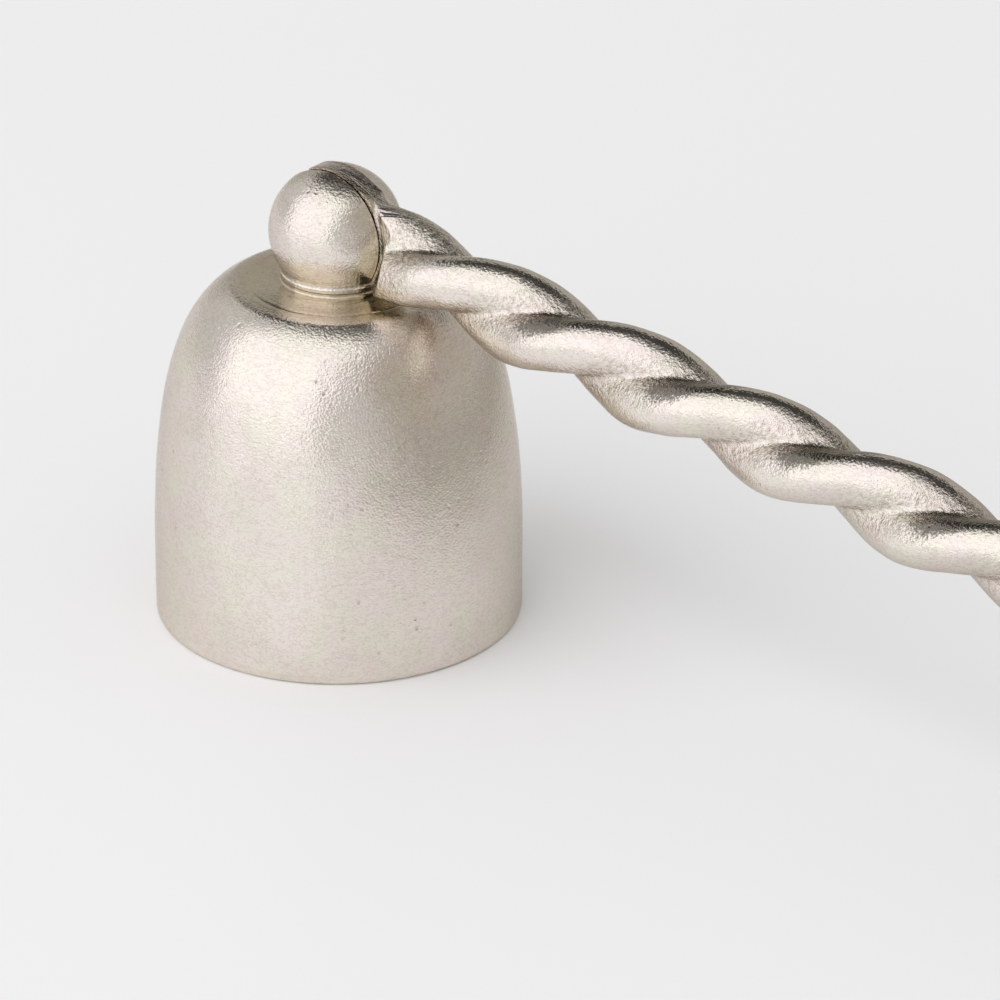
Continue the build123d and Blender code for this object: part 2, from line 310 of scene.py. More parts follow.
def settle(bm, name, body, node, material):
    """Makes the finished piece, gives it its material and puts it on its body in place of a CAD node."""
    for face in bm.faces:
        face.smooth = True
    mesh = bpy.data.meshes.new(name)
    bm.to_mesh(mesh)
    bm.free()
    piece = bpy.data.objects.new(name, mesh)
    bpy.context.scene.collection.objects.link(piece)
    mesh.materials.append(material)
    mesh.set_sharp_from_angle(angle=radians(40))
    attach(piece, body)
    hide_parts(node)
    return piece


def cut_away(piece, cutter_bm):
    """Cuts a closed shape out of a piece for good."""
    mesh = bpy.data.meshes.new("cutter")
    cutter_bm.to_mesh(mesh)
    cutter_bm.free()
    cutter = bpy.data.objects.new("cutter", mesh)
    bpy.context.scene.collection.objects.link(cutter)
    cut = piece.modifiers.new("cut", "BOOLEAN")
    cut.object = cutter
    cut.operation = "DIFFERENCE"
    cut.solver = "EXACT"
    shaped = bpy.data.meshes.new_from_object(piece.evaluated_get(bpy.context.evaluated_depsgraph_get()))
    piece.modifiers.remove(cut)
    uncut = piece.data
    shaped.name = uncut.name
    piece.data = shaped
    bpy.data.meshes.remove(uncut)
    bpy.data.objects.remove(cutter)
    bpy.data.meshes.remove(mesh)


def upright(point):
    """Puts a profile's point (radius, height) in space, beside the bell's axis."""
    return Vector((point[0], 0, point[1]))


def beside_hinge(point):
    """Puts a profile's point (radius, distance along the hinge) in space, over the hinge's axis."""
    return Vector((0, point[1], HINGE_HEIGHT + point[0]))


# Shader groups and materials


def add_node(tree, kind, **values):
    """A shader node with some of its values set."""
    made = tree.nodes.new(kind)
    for key, value in values.items():
        setattr(made, key, value)
    return made


def feed(tree, target, socket, source):
    """Feeds an input from another node's output, or sets it to a plain value."""
    if isinstance(source, bpy.types.NodeSocket):
        tree.links.new(source, target.inputs[socket])
    else:
        target.inputs[socket].default_value = source


def math_node(tree, operation, first, second):
    """The result of a sum on two values."""
    made = add_node(tree, "ShaderNodeMath", operation=operation)
    feed(tree, made, 0, first)
    feed(tree, made, 1, second)
    return made.outputs[0]


def remap(tree, value, low, high, to_low, to_high):
    """A value's range turned smoothly into another range."""
    made = add_node(tree, "ShaderNodeMapRange", interpolation_type="SMOOTHSTEP")
    for socket, source in zip(range(5), (value, low, high, to_low, to_high)):
        feed(tree, made, socket, source)
    return made.outputs[0]


def noise_node(tree, vector, scale, detail, roughness=0.55):
    """Noise in space, from 0 to 1."""
    made = add_node(tree, "ShaderNodeTexNoise")
    feed(tree, made, "Vector", vector)
    feed(tree, made, "Scale", scale)
    feed(tree, made, "Detail", detail)
    feed(tree, made, "Roughness", roughness)
    return made.outputs[0]


def millimetres(tree):
    """Object coordinates in millimetres."""
    coordinates = add_node(tree, "ShaderNodeTexCoord")
    scaled = add_node(tree, "ShaderNodeVectorMath", operation="SCALE")
    feed(tree, scaled, 0, coordinates.outputs["Object"])
    feed(tree, scaled, "Scale", 1 / MM)
    return scaled.outputs[0]


def new_group(name, inputs, outputs):
    """An empty shader group with named inputs and outputs."""
    tree = bpy.data.node_groups.new(name, "ShaderNodeTree")
    for socket, kind in inputs:
        tree.interface.new_socket(socket, in_out="INPUT", socket_type=kind)
    for socket, kind in outputs:
        tree.interface.new_socket(socket, in_out="OUTPUT", socket_type=kind)
    return tree, add_node(tree, "NodeGroupInput").outputs, add_node(tree, "NodeGroupOutput")


def make_cast_skin():
    """Group for cast metal: grain, pits and slow clouds, with painted shade in the creases and dark specks, as a
    colour, a roughness and a height in millimetres.
    """
    plain = "NodeSocketFloat"
    tree, given, result = new_group(
        "cast_skin",
        [("Metal", "NodeSocketColor"), ("Tarnish And Shade", "NodeSocketColor"), ("Grain Size", plain),
         ("Grain Depth", plain), ("Pit Spacing", plain), ("Pit Depth", plain), ("Roughness", plain),
         ("Roughness Spread", plain)],
        [("Color", "NodeSocketColor"), ("Roughness", plain), ("Height", plain)])
    place = millimetres(tree)
    flat = add_node(tree, "ShaderNodeVectorMath", operation="MULTIPLY")
    feed(tree, flat, 0, place)
    feed(tree, flat, 1, (1.0, 1.0, 1.0))
    fine = noise_node(tree, flat.outputs[0], math_node(tree, "DIVIDE", 1.0, given["Grain Size"]), 1.0, 0.5)
    coarse = noise_node(tree, flat.outputs[0], math_node(tree, "DIVIDE", 0.4, given["Grain Size"]), 2.0)
    level = add_node(tree, "ShaderNodeVectorMath", operation="MULTIPLY")
    feed(tree, level, 0, place)
    feed(tree, level, 1, (1.1, 1.1, 2.6))
    folds = math_node(tree, "ABSOLUTE", math_node(tree, "SUBTRACT", noise_node(tree, level.outputs[0], 1.0, 2.0), 0.5), 0.0)
    creases = remap(tree, folds, 0.0, 0.06, 1.0, 0.0)
    cloud = noise_node(tree, place, 0.16, 3.0)
    cells = add_node(tree, "ShaderNodeTexVoronoi")
    feed(tree, cells, "Vector", place)
    feed(tree, cells, "Scale", math_node(tree, "DIVIDE", 1.0, given["Pit Spacing"]))
    some = add_node(tree, "ShaderNodeSeparateColor")
    feed(tree, some, 0, cells.outputs["Color"])
    cluster = remap(tree, noise_node(tree, place, 0.11, 2.0), 0.46, 0.64, 0.05, 1.0)
    chosen = math_node(tree, "MULTIPLY", remap(tree, some.outputs[0], 0.6, 0.95, 0.0, 1.0), cluster)
    pits = math_node(tree, "MULTIPLY", remap(tree, cells.outputs["Distance"], 0.05, 0.3, 1.0, 0.0), chosen)

    grain = math_node(tree, "ADD", fine, math_node(tree, "MULTIPLY", coarse, 0.25))
    grain = math_node(tree, "SUBTRACT", grain, math_node(tree, "MULTIPLY", creases, 0.07))
    grain_height = math_node(tree, "MULTIPLY", grain, given["Grain Depth"])
    pit_height = math_node(tree, "MULTIPLY", pits, given["Pit Depth"])
    feed(tree, result, "Height", math_node(tree, "SUBTRACT", grain_height, pit_height))

    uneven = math_node(tree, "SUBTRACT", math_node(tree, "ADD", coarse, cloud), 1.0)
    spread = math_node(tree, "MULTIPLY", uneven, given["Roughness Spread"])
    feed(tree, result, "Roughness", math_node(tree, "ADD", given["Roughness"], spread))

    clouds = remap(tree, cloud, 0.45, 0.75, 0.0, 0.14)
    # Painted shade: fine dark specks in the colour stand in for the sparkle of the grain.
    speck_noise = noise_node(tree, flat.outputs[0], math_node(tree, "DIVIDE", 1.7, given["Grain Size"]), 1.0)
    painted_specks = remap(tree, speck_noise, 0.5, 0.68, 0.0, 0.14)
    stain_and_shade = math_node(tree, "ADD", math_node(tree, "ADD", clouds, painted_specks), math_node(tree, "MULTIPLY", pits, 0.6))
    # Painted shade: the creases are darkened in the colour, standing in for the shading of the wrinkles.
    stain_and_shade = math_node(tree, "ADD", stain_and_shade, math_node(tree, "MULTIPLY", creases, 0.32))
    tint = add_node(tree, "ShaderNodeMix", data_type="RGBA")
    feed(tree, tint, 0, stain_and_shade)
    tree.links.new(given["Metal"], tint.inputs[6])
    tree.links.new(given["Tarnish And Shade"], tint.inputs[7])
    hue = remap(tree, noise_node(tree, place, 0.22, 2.0), 0.35, 0.65, 0.0, 1.0)
    blush = toned(tree, hue, tint.outputs[2], (1.0, 0.965, 0.985))
    moss = toned(tree, math_node(tree, "SUBTRACT", 1.0, hue), blush, (0.98, 0.99, 0.955))
    feed(tree, result, "Color", moss)
    return tree


def make_turned_rings():
    """Group for lathe marks: fine rings along a coordinate, as a height from 0 to 1."""
    tree, given, result = new_group("turned_rings", [("Along", "NodeSocketFloat"), ("Rings", "NodeSocketFloat")],
                                    [("Height", "NodeSocketFloat")])
    rings = add_node(tree, "ShaderNodeTexNoise", noise_dimensions="1D")
    feed(tree, rings, "W", given["Along"])
    feed(tree, rings, "Scale", given["Rings"])
    feed(tree, rings, "Detail", 3.0)
    feed(tree, result, "Height", rings.outputs[0])
    return tree


def shader_group(name, make):
    """A shader group that is made once."""
    return bpy.data.node_groups.get(name) or make()


def metal_material(name, roughness, colour_value):
    """A bare metal material, and its shader node."""
    material = bpy.data.materials.new(name)
    material.use_nodes = True
    shader = material.node_tree.nodes["Principled BSDF"]
    shader.inputs["Metallic"].default_value = 1.0
    shader.inputs["Specular Tint"].default_value = (0.82, 0.79, 0.75, 1)
    shader.inputs["Roughness"].default_value = roughness
    shader.inputs["Base Color"].default_value = (*colour_value, 1)
    return material, material.node_tree, shader


def cast_material(name, finish, roughness, spread, grain, pits, dress):
    """Cast metal with grain (size, depth) and pits (spacing, depth) in millimetres, and marks from dress."""
    material, tree, shader = metal_material(name, roughness, finish.metal)
    skin = add_node(tree, "ShaderNodeGroup", node_tree=shader_group("cast_skin", make_cast_skin))
    values = {"Metal": (*finish.metal, 1), "Tarnish And Shade": (*finish.tarnish_and_shade, 1), "Grain Size": grain[0],
              "Grain Depth": grain[1], "Pit Spacing": pits[0], "Pit Depth": pits[1], "Roughness": roughness,
              "Roughness Spread": spread}
    for socket, value in values.items():
        feed(tree, skin, socket, value)
    place = add_node(tree, "ShaderNodeSeparateXYZ")
    feed(tree, place, 0, millimetres(tree))
    tone, height = dress(tree, place.outputs, skin.outputs["Color"], skin.outputs["Height"])
    feed(tree, shader, "Base Color", tone)
    feed(tree, shader, "Roughness", skin.outputs["Roughness"])
    bump = add_node(tree, "ShaderNodeBump")
    feed(tree, bump, "Distance", MM)
    feed(tree, bump, "Height", height)
    feed(tree, shader, "Normal", bump.outputs[0])
    return material


def ring_marks(tree, along, rings, depth):
    """Height of lathe marks along a coordinate, in millimetres."""
    marks = add_node(tree, "ShaderNodeGroup", node_tree=shader_group("turned_rings", make_turned_rings))
    feed(tree, marks, "Along", along)
    feed(tree, marks, "Rings", rings)
    return math_node(tree, "MULTIPLY", marks.outputs[0], depth)


def reach(tree, first, second):
    """Distance from an axis, from two coordinates across it."""
    return math_node(tree, "SQRT", math_node(tree, "ADD", math_node(tree, "MULTIPLY", first, first),
                                             math_node(tree, "MULTIPLY", second, second)), 0.0)


def toned(tree, share, tone, tint):
    """A colour multiplied by a tint, as far as share says."""
    made = add_node(tree, "ShaderNodeMix", data_type="RGBA", blend_type="MULTIPLY")
    feed(tree, made, 0, share)
    feed(tree, made, 6, tone)
    feed(tree, made, 7, (*tint, 1))
    return made.outputs[2]


def dress_crown(tree, place, tone, height):
    """Smoother skin and turned rings on the bell's crown, with a darker olive tone painted there as shade and
    reflection.
    """
    from_axis = reach(tree, place[0], place[1])
    on_crown = math_node(tree, "MULTIPLY", remap(tree, from_axis, 9.4, 10.9, 1.0, 0.0),
                         remap(tree, place[2], 35.5, 36.0, 0.0, 1.0))
    rings = math_node(tree, "MULTIPLY", ring_marks(tree, from_axis, 4.0, 0.016), on_crown)
    kept = math_node(tree, "MULTIPLY", height, math_node(tree, "SUBTRACT", 1.0, math_node(
        tree, "MULTIPLY", on_crown, 0.75)))
    # Painted shade and reflection: the crown gets a darker olive tone that stands in for the olive surroundings it
    # reflects under the handle.
    return toned(tree, on_crown, tone, (0.87, 0.845, 0.755)), math_node(tree, "ADD", kept, rings)


def dress_ball(tree, place, tone, height):
    """Faint level brushing round the ball."""
    return tone, math_node(tree, "ADD", height, ring_marks(tree, place[2], 3.5, 0.012))


def mark(tree, name):
    """A mark from 0 to 1 that the mesh carries at its points."""
    return add_node(tree, "ShaderNodeAttribute", attribute_name=name).outputs["Fac"]


def dress_handle(tree, place, tone, height):
    """File marks on the root's flanks and shoulder, roughened casting with painted shade in the hollows, and a painted
    dark reflection band on the strands' upper flanks.
    """
    over_hinge = math_node(tree, "SUBTRACT", place[2], HINGE_HEIGHT / MM)
    from_hinge = reach(tree, place[0], over_hinge)
    filed = math_node(tree, "MULTIPLY", mark(tree, "filed"), remap(tree, from_hinge, 9.0, 11.0, 1.0, 0.0))
    flank = math_node(tree, "MULTIPLY", ring_marks(tree, from_hinge, 3.2, 0.05), filed)
    slant = math_node(tree, "SUBTRACT", math_node(tree, "MULTIPLY", place[1], 0.79),
                      math_node(tree, "MULTIPLY", place[0], 0.61))
    on_shoulder = math_node(tree, "MULTIPLY", remap(tree, from_hinge, 6.5, 7.5, 0.0, 1.0),
                            remap(tree, from_hinge, 10.0, 13.0, 1.0, 0.0))
    on_shoulder = math_node(tree, "MULTIPLY", on_shoulder, remap(tree, over_hinge, 2.4, 3.4, 0.0, 1.0))
    shoulder = math_node(tree, "MULTIPLY", ring_marks(tree, slant, 2.4, 0.16), on_shoulder)
    root = math_node(tree, "MULTIPLY", remap(tree, from_hinge, 8.2, 9.2, 0.0, 0.9),
                     remap(tree, from_hinge, 12.0, 15.0, 1.0, 0.0))
    rough_and_shaded = math_node(tree, "MAXIMUM", mark(tree, "hollow"), root)
    lumps = noise_node(tree, millimetres(tree), 1.9, 3.0, 0.65)
    casting = math_node(tree, "MULTIPLY", math_node(tree, "MULTIPLY", lumps, rough_and_shaded), 0.2)
    marks = math_node(tree, "ADD", math_node(tree, "ADD", flank, shoulder), casting)
    # Painted shade: the hollows between the strands and the root are darkened in speckled patches.
    painted_hollow_shade = math_node(tree, "MULTIPLY", rough_and_shaded, remap(tree, lumps, 0.38, 0.52, 0.55, 0.0))
    tone = toned(tree, painted_hollow_shade, tone, (0.62, 0.58, 0.52))
    speckle = noise_node(tree, millimetres(tree), 4.2, 1.0, 0.5)
    edge = math_node(tree, "ADD", mark(tree, "residue"), math_node(tree, "MULTIPLY", speckle, 1.2))
    tone = toned(tree, remap(tree, edge, 0.88, 1.18, 0.0, 0.85), tone, (0.28, 0.275, 0.26))
    return toned(tree, filed, tone, (0.8, 0.78, 0.74)), math_node(tree, "ADD", height, marks)


def steel_material(name, finish):
    """Plain steel with fine turning marks."""
    material, tree, shader = metal_material(name, finish.steel_roughness, finish.steel)
    place = add_node(tree, "ShaderNodeSeparateXYZ")
    feed(tree, place, 0, millimetres(tree))
    marks = ring_marks(tree, place.outputs[1], 6.0, 1.0)
    feed(tree, shader, "Roughness", remap(tree, marks, 0.3, 0.7, finish.steel_roughness - 0.08,
                                          finish.steel_roughness + 0.08))
    bump = add_node(tree, "ShaderNodeBump")
    feed(tree, bump, "Distance", 0.008 * MM)
    feed(tree, bump, "Height", marks)
    feed(tree, shader, "Normal", bump.outputs[0])
    return material


# Pieces


def bell_profile(size):
    """Closed outline of the bell's wall, from the hole in the crown out over the dome and back inside."""
    rim, mouth = size.rim_radius, size.mouth_radius
    edge = (size.crown_edge_radius, size.crown_edge_height)
    foot = (size.cove_foot_radius, size.cove_foot_height)
    crown_length = hypot(edge[0] - foot[0], edge[1] - foot[1])
    crown_way = ((edge[0] - foot[0]) / crown_length, (edge[1] - foot[1]) / crown_length)
    dome_way = (cos(size.dome_end_angle), -sin(size.dome_end_angle))
    trim = size.crown_edge_round
    crown_end = (edge[0] - crown_way[0] * trim, edge[1] - crown_way[1] * trim)
    dome_start = (edge[0] + dome_way[0] * trim, edge[1] + dome_way[1] * trim)
    dome_pull = size.dome_upper_pull - trim
    ring_way = (size.ring_radius - foot[0]) / crown_way[0]
    ring = (size.ring_radius, foot[1] + crown_way[1] * ring_way)
    ring_points = groove(ring, crown_way, size.ring_width, size.ring_depth)
    ceiling = (size.ceiling_radius, CEILING_HEIGHT)
    inner_way = (cos(size.inner_end_angle), -sin(size.inner_end_angle))

    points = [(size.hole_radius, SEAT_HEIGHT)]
    points += curve((size.cove_top_radius, SEAT_HEIGHT), (size.cove_top_radius, foot[1]),
                    (size.cove_top_radius, foot[1]), foot, 8)
    points += straight(foot, ring_points[0], 10)[1:] + ring_points[1:]
    points += straight(ring_points[-1], crown_end, 6)[1:]
    points += curve(crown_end, edge, edge, dome_start, 7)[1:]
    points += curve(dome_start, (dome_start[0] + dome_way[0] * dome_pull, dome_start[1] + dome_way[1] * dome_pull),
                    (rim, size.wall_top + size.dome_lower_pull), (rim, size.wall_top), 90)[1:]
    points += straight((rim, size.wall_top), (rim, size.rim_round), 16)[1:]
    points += arc((rim - size.rim_round, size.rim_round), size.rim_round, 0, -QUARTER, 6)[1:]
    points += arc((mouth + size.lip_round, size.lip_round), size.lip_round, -QUARTER, -2 * QUARTER, 4)
    points += straight((mouth, size.lip_round), (mouth, size.mouth_depth), 8)[1:]
    points += curve((mouth, size.mouth_depth), (mouth, size.mouth_depth + size.inner_lower_pull),
                    (ceiling[0] + inner_way[0] * size.inner_upper_pull,
                     ceiling[1] + inner_way[1] * size.inner_upper_pull), ceiling, 40)[1:]
    points.append((size.hole_radius, CEILING_HEIGHT))
    return points


class SNUFFER_OT_bell(bpy.types.Operator):
    """Turn the cast bell with its sloped crown"""

    bl_idname = "snuffer.bell"
    bl_label = "Bell"

    def execute(self, context):
        settings = context.scene.snuffer
        size, finish = settings.bell, settings.finish
        bm = bmesh.new()
        wire = add_wire(bm, bell_profile(size), upright, closed=True)
        turn_wire(bm, wire, (0, 0, 0), UP, size.steps)
        close_shell(bm)

        def moves(point):
            """Full on the dome and the wall, none at the rim and on the turned crown."""
            over_rim = min(1, max(0, (point.z - size.rim_round) / size.wall_top))
            under_crown = min(1, max(0, (size.crown_edge_height - point.z) / size.crown_edge_round / 4))
            return over_rim * under_crown

        roughen(bm, size, moves)
        material = cast_material("sand_cast_bell", finish, finish.bell_roughness, 0.08, (0.22, 0.05), (1.15, 0.1),
                                 dress_crown)
        settle(bm, "bell_shell", "bell_body", "bell", material)
        return {"FINISHED"}


def cheek_profile(size, pin_radius, side):
    """Outline of one cheek round the hinge: ball, lip, flat face and the pin's hole, which is blind on one side."""
    ball, half, lip = size.ball_radius, size.slot_width / 2, size.lip_round
    lip_side = half + lip
    lip_start = sqrt((ball - lip) ** 2 - lip_side ** 2)
    lip_angle = atan2(lip_side, lip_start)
    pin_end = PIN_HIGH[1] if side > 0 else -PIN_LOW[1]
    if side > 0:
        chamfer = size.pin_chamfer
        hole_angle = atan2(sqrt(ball ** 2 - (pin_radius + chamfer) ** 2), pin_radius + chamfer)
        mouth = sqrt(ball ** 2 - (pin_radius + chamfer) ** 2)
        points = arc((0, 0), ball, hole_angle, lip_angle, 60)
    else:
        points = arc((0, 0), ball, QUARTER, lip_angle, 60)
    points += arc((lip_start, lip_side), lip, lip_angle, -QUARTER, 8)[1:]
    points += straight((lip_start, half), (pin_radius, half), 6)[1:]
    if side > 0:
        points += [(pin_radius, mouth - chamfer)]
    else:
        points += [(pin_radius, pin_end), (0, pin_end)]
    return [(radius, side * along) for radius, along in points]


def neck_profile(size, shank_radius):
    """Outline of the neck and the spigot, from the middle of the slot's floor out and down to the screw's hole."""
    neck, top = size.neck_radius, size.neck_top
    ring = (neck, SEAT_HEIGHT + size.ring_height)
    spigot_end = CEILING_HEIGHT + size.spigot_setback
    floor = size.floor_height
    cove_top = sqrt(size.ball_radius ** 2 - (HINGE_HEIGHT - floor) ** 2)
    points = [(0, floor)]
    points += curve((cove_top, floor), (neck, top), (neck, top), (neck, floor - size.neck_cove), 8)
    points += groove(ring, (0, -1), size.ring_width, -size.ring_depth)
    points += arc((neck - size.seam_round, SEAT_HEIGHT + size.seam_round), size.seam_round, 0, -QUARTER, 5)
    points += [(size.spigot_radius, SEAT_HEIGHT), (size.spigot_radius, spigot_end), (shank_radius, spigot_end),
               (shank_radius, SCREW_HIGH[2]), (0, SCREW_HIGH[2])]
    return points


class SNUFFER_OT_knuckle(bpy.types.Operator):
    """Turn the two cheeks of the slotted ball and its ringed neck"""

    bl_idname = "snuffer.knuckle"
    bl_label = "Knuckle"

    def execute(self, context):
        settings = context.scene.snuffer
        size, finish = settings.knuckle, settings.finish
        pin_radius = PIN_HIGH[0]
        bm = bmesh.new()
        hinge = (0, 0, HINGE_HEIGHT)
        for side in (-1, 1):
            wire = add_wire(bm, cheek_profile(size, pin_radius, side), beside_hinge, closed=side > 0)
            turn_wire(bm, wire, hinge, (0, 1, 0), size.steps)
        close_shell(bm)
        bmesh.ops.bisect_plane(bm, geom=bm.verts[:] + bm.edges[:] + bm.faces[:], dist=0.0005 * MM,
                               plane_co=(0, 0, size.neck_top), plane_no=UP, clear_inner=True)
        bmesh.ops.holes_fill(bm, edges=[edge for edge in bm.edges if edge.is_boundary], sides=0)
        wire = add_wire(bm, neck_profile(size, settings.fasteners.shank_radius), upright)
        turn_wire(bm, wire, (0, 0, 0), UP, size.steps)
        close_shell(bm)
        material = cast_material("brushed_knuckle", finish, finish.ball_roughness, 0.06, (0.25, 0.055), (0.9, 0.04),
                                 dress_ball)
        settle(bm, "knuckle_ball", "bell_body", "knuckle", material)
        return {"FINISHED"}


def soft_least(first, second, soft):
    """The smaller of two values, rounded where they cross."""
    near = max(0, 1 - abs(first - second) / soft)
    return min(first, second) - near * near * soft / 4


def ease(value, start, end):
    """0 before start, 1 after end, smooth between."""
    share = min(1, max(0, (value - start) / (end - start)))
    return share * share * (3 - 2 * share)


class HandleShape:
    """The handle's skin in its own frame: the hinge at the origin, the bar along +X."""

    def __init__(self, size):
        self.size = size
        end = Vector((HANDLE_HIGH[0] - size.end_radius, 0, size.end_radius - HINGE_HEIGHT))
        self.length = sqrt(end.length_squared - size.bar_rise ** 2)
        self.slope = atan2(-end.z, end.x) + atan2(size.bar_rise, self.length)
        self.last = self.length + size.end_radius

    def stations(self):
        """Places of the rings along the handle: close on the tongue and the root, and round the end ball."""
        size = self.size
        root_end = 2.5 * size.tongue_radius
        bar_end = self.length - size.end_radius
        heel = [-size.heel + size.heel_round * (1 - cos(QUARTER * i / 6)) for i in range(6)]
        root_count = round((root_end + size.heel - size.heel_round) / size.root_step)
        bar_count = round((bar_end - root_end) / size.bar_step)
        ball_count = 44
        root = [-size.heel + size.heel_round + (root_end + size.heel - size.heel_round) * i / root_count
                for i in range(root_count)]
        bar = [root_end + (bar_end - root_end) * i / bar_count for i in range(bar_count)]
        ball = [self.length - size.end_radius * cos(2 * QUARTER * i / ball_count) for i in range(ball_count + 1)]
        return heel + root + bar + ball

    def strands(self, along, turn):
        """Distance of the skin from the bar's axis, at a place along it and a direction round it."""
        size = self.size
        from_strand = turn - size.twist_start + tau * along / size.twist_pitch
        offset = size.strand_offset * cos(from_strand)
        across = sqrt(size.strand_radius ** 2 - (size.strand_offset * sin(from_strand)) ** 2)
        power = size.valley_sharpness
        skin = ((across + offset) ** power + (across - offset) ** power) ** (1 / power)
        from_end = along - self.length
        ball = sqrt(max(0, size.end_radius ** 2 - from_end ** 2))
        if not ball:
            return skin if from_end < 0 else 0
        skin *= 1 - ease(along, self.length - size.end_radius / 2, self.length)
        return (skin ** size.end_blend + ball ** size.end_blend) ** (1 / size.end_blend)

    def unfiled(self, along, turn):
        """Point (across, up) of the bar's section, relieved over the crown but not yet filed beside the cheeks."""
        size = self.size
        skin = self.strands(along, turn)
        across, up = skin * cos(turn), size.bar_rise + skin * sin(turn)
        relief = size.relief_depth + (along - size.file_start) * sin(size.relief_slope)
        return across, -soft_least(-up, relief, size.soft) if up < 0 else up

    def flank(self, along, up):
        """Distance of the filed flanks from the handle's middle plane."""
        size = self.size
        low = ease(-up, -size.file_high, -size.file_low)
        slope = size.file_slope + (size.file_slope_low - size.file_slope) * low
        past = max(0, hypot(along, up) - size.file_start)
        opening = max(0, past - size.file_reach) ** 2 / size.file_reach
        return size.tongue_thickness / 2 + past * slope + opening

    def bar(self, along, turn):
        """Point (across, up) of the bar's section, filed beside the cheeks."""
        across, up = self.unfiled(along, turn)
        side = 1 if across > 0 else -1
        return side * max(0, soft_least(abs(across), self.flank(along, up), self.size.soft)), up

    def marks(self, along, turn):
        """How far a point is filed flat, lies in a hollow and holds dark residue there, from 0 to 1."""
        size = self.size
        across, up = self.unfiled(along, turn)
        filed = ease(abs(across) - self.flank(along, up), 0, size.soft)
        from_strand = turn - size.twist_start + tau * along / size.twist_pitch
        before_end = 1 - ease(along, self.length - 2 * size.end_radius, self.length - size.end_radius)
        beside_crest = abs(sin(from_strand))
        hollow = ease(beside_crest, size.crest_share, 1) * before_end
        before_crest = -sin(from_strand) if cos(from_strand) > 0 else sin(from_strand)
        facing_up = ease(sin(turn), -0.1, 0.7) * ease(along, 2 * size.blend_end, 3 * size.blend_end)
        residue = ease(before_crest, size.residue_start, size.residue_end) * facing_up * before_end
        residue *= 1 - 0.6 * ease(before_crest, size.residue_end, 1)
        return filed, hollow, residue

    def slant(self, along):
        """Backward lean of the tongue's sections behind the hinge, for each unit of height."""
        return tan(self.size.heel_slant) * min(1, max(0, -along) / self.size.heel)

    def tongue(self, along, turn):
        """Point (across, up) of the flat tongue's section."""
        size = self.size
        ramp_start = size.tongue_radius * cos(size.crown_end_angle)
        if along < ramp_start:
            upright_top = sqrt(size.tongue_radius ** 2 - along ** 2)
            top = sqrt(size.tongue_radius ** 2 - (along - self.slant(along) * upright_top) ** 2)
        else:
            top = (size.tongue_radius - along * cos(size.crown_end_angle)) / sin(size.crown_end_angle)
        flat_start = size.eye_radius * sin(size.under_slope)
        if along < flat_start:
            under = -sqrt(max(0, size.eye_radius ** 2 - along ** 2))
        else:
            under = (along * sin(size.under_slope) - size.eye_radius) / cos(size.under_slope)
        middle, half = (top + under) / 2, (top - under) / 2
        heel = min(1, (along + size.heel) / size.heel_round)
        rounding = sqrt(max(0, 1 - (1 - heel) ** 2))
        thick = size.tongue_thickness / 2 * rounding
        half -= size.heel_round * (1 - rounding)
        across, up = (max(-1, min(1, sqrt(2) * share)) for share in (cos(turn), sin(turn)))
        return thick * across, middle + half * up

    def point(self, along, turn):
        """Point of the skin in the handle's own frame."""
        size = self.size
        share = ease(along, size.blend_start, size.blend_end)
        if share < 1:
            flat = self.tongue(along, turn)
        if share > 0:
            full = self.bar(along, turn)
        if share == 0:
            across, up = flat
        elif share == 1:
            across, up = full
        else:
            across = flat[0] + (full[0] - flat[0]) * share
            up = flat[1] + (full[1] - flat[1]) * share
        return Vector((along - self.slant(along) * up, across, up))


class SNUFFER_OT_handle(bpy.types.Operator):
    """Shape the twisted handle with its tongue and its end ball"""

    bl_idname = "snuffer.handle"
    bl_label = "Handle"

    def execute(self, context):
        settings = context.scene.snuffer
        size, finish = settings.handle, settings.finish
        shape = HandleShape(size)
        stations = shape.stations()
        bm = bmesh.new()
        bmesh.ops.create_grid(bm, x_segments=len(stations) - 1, y_segments=size.steps, size=1.0)
        layers = [bm.verts.layers.float.new(name) for name in ("filed", "hollow", "residue")]
        for vert in bm.verts:
            along = stations[round((vert.co.x + 1) / 2 * (len(stations) - 1))]
            turn = (vert.co.y + 1) / 2 * tau
            turn -= tau * max(0, along - 2 * size.blend_end) / size.twist_pitch
            vert.co = shape.point(along, turn)
            for layer, value in zip(layers, shape.marks(along, turn)):
                vert[layer] = value
        close_shell(bm)

        def moves(point):
            """Full on the bar, none on the tongue."""
            return ease(point.x, size.blend_start, size.blend_end)

        roughen(bm, size, moves)
        at_rest = Matrix.Translation((0, 0, HINGE_HEIGHT)) @ Matrix.Rotation(shape.slope, 4, "Y")
        bmesh.ops.transform(bm, matrix=at_rest, verts=bm.verts)
        material = cast_material("polished_handle", finish, finish.handle_roughness, 0.04, (0.26, 0.054),
                                 (0.9, 0.05), dress_handle)
        piece = settle(bm, "twisted_handle", "handle_body", "handle", material)
        pin_hole = bmesh.new()
        sideways = Matrix.Translation((0, 0, HINGE_HEIGHT)) @ Matrix.Rotation(QUARTER, 4, "X")
        bmesh.ops.create_cone(pin_hole, cap_ends=True, segments=64, radius1=PIN_HIGH[0] + 0.05 * MM,
                              radius2=PIN_HIGH[0] + 0.05 * MM, depth=2 * size.tongue_thickness,
                              matrix=sideways)
        cut_away(piece, pin_hole)
        return {"FINISHED"}


